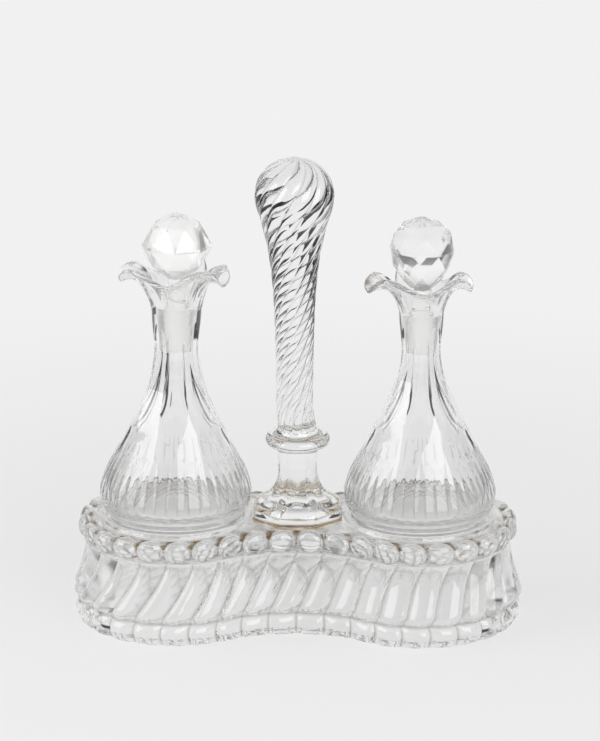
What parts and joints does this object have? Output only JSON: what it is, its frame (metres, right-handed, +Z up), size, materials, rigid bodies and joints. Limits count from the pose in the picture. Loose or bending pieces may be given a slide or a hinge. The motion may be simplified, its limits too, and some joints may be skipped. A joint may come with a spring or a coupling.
{
  "type": "glass cruet set",
  "caption": "Clear pressed-glass oil and vinegar set: waisted gadrooned stand with beaded rim and twisted pillar handle, holding stoppered cruets that lift out.",
  "frame": {"origin": "centre of the footprint on the surface the stand rests on; the handle stands on the Z axis", "axes": "+Z up along the handle, +X from the left cruet to the right one, +Y to the back"},
  "size_m": [0.2108, 0.0968, 0.2223],
  "materials": {
    "crystal": "fire-polished clear pressed crystal",
    "cruet_crystal": "clear blown crystal with polished cuts",
    "stopper_crystal": "clear cut knob on a finely ground matt plug",
    "cement": "thin aged tan setting cement"
  },
  "bodies": {
    "stand": {"stand_tray": "crystal", "handle_cement": "cement", "handle_pillar": "crystal"},
    "cruet_left": {"cruet_left": "cruet_crystal"},
    "cruet_right": {"cruet_right": "cruet_crystal"},
    "stopper_left": {"stopper_left": "stopper_crystal"},
    "stopper_right": {"stopper_right": "stopper_crystal"}
  },
  "joints": [
    {"name": "cruet_left_lift", "type": "slide", "parent": "stand", "child": "cruet_left", "axis": [0, 0, 1], "range_m": [0, 0.08]},
    {"name": "cruet_right_lift", "type": "slide", "parent": "stand", "child": "cruet_right", "axis": [0, 0, 1], "range_m": [0, 0.08]},
    {"name": "stopper_left_lift", "type": "slide", "parent": "cruet_left", "child": "stopper_left", "axis": [0, 0, 1], "range_m": [0, 0.05]},
    {"name": "stopper_right_lift", "type": "slide", "parent": "cruet_right", "child": "stopper_right", "axis": [0, 0, 1], "range_m": [0, 0.05]}
  ]
}
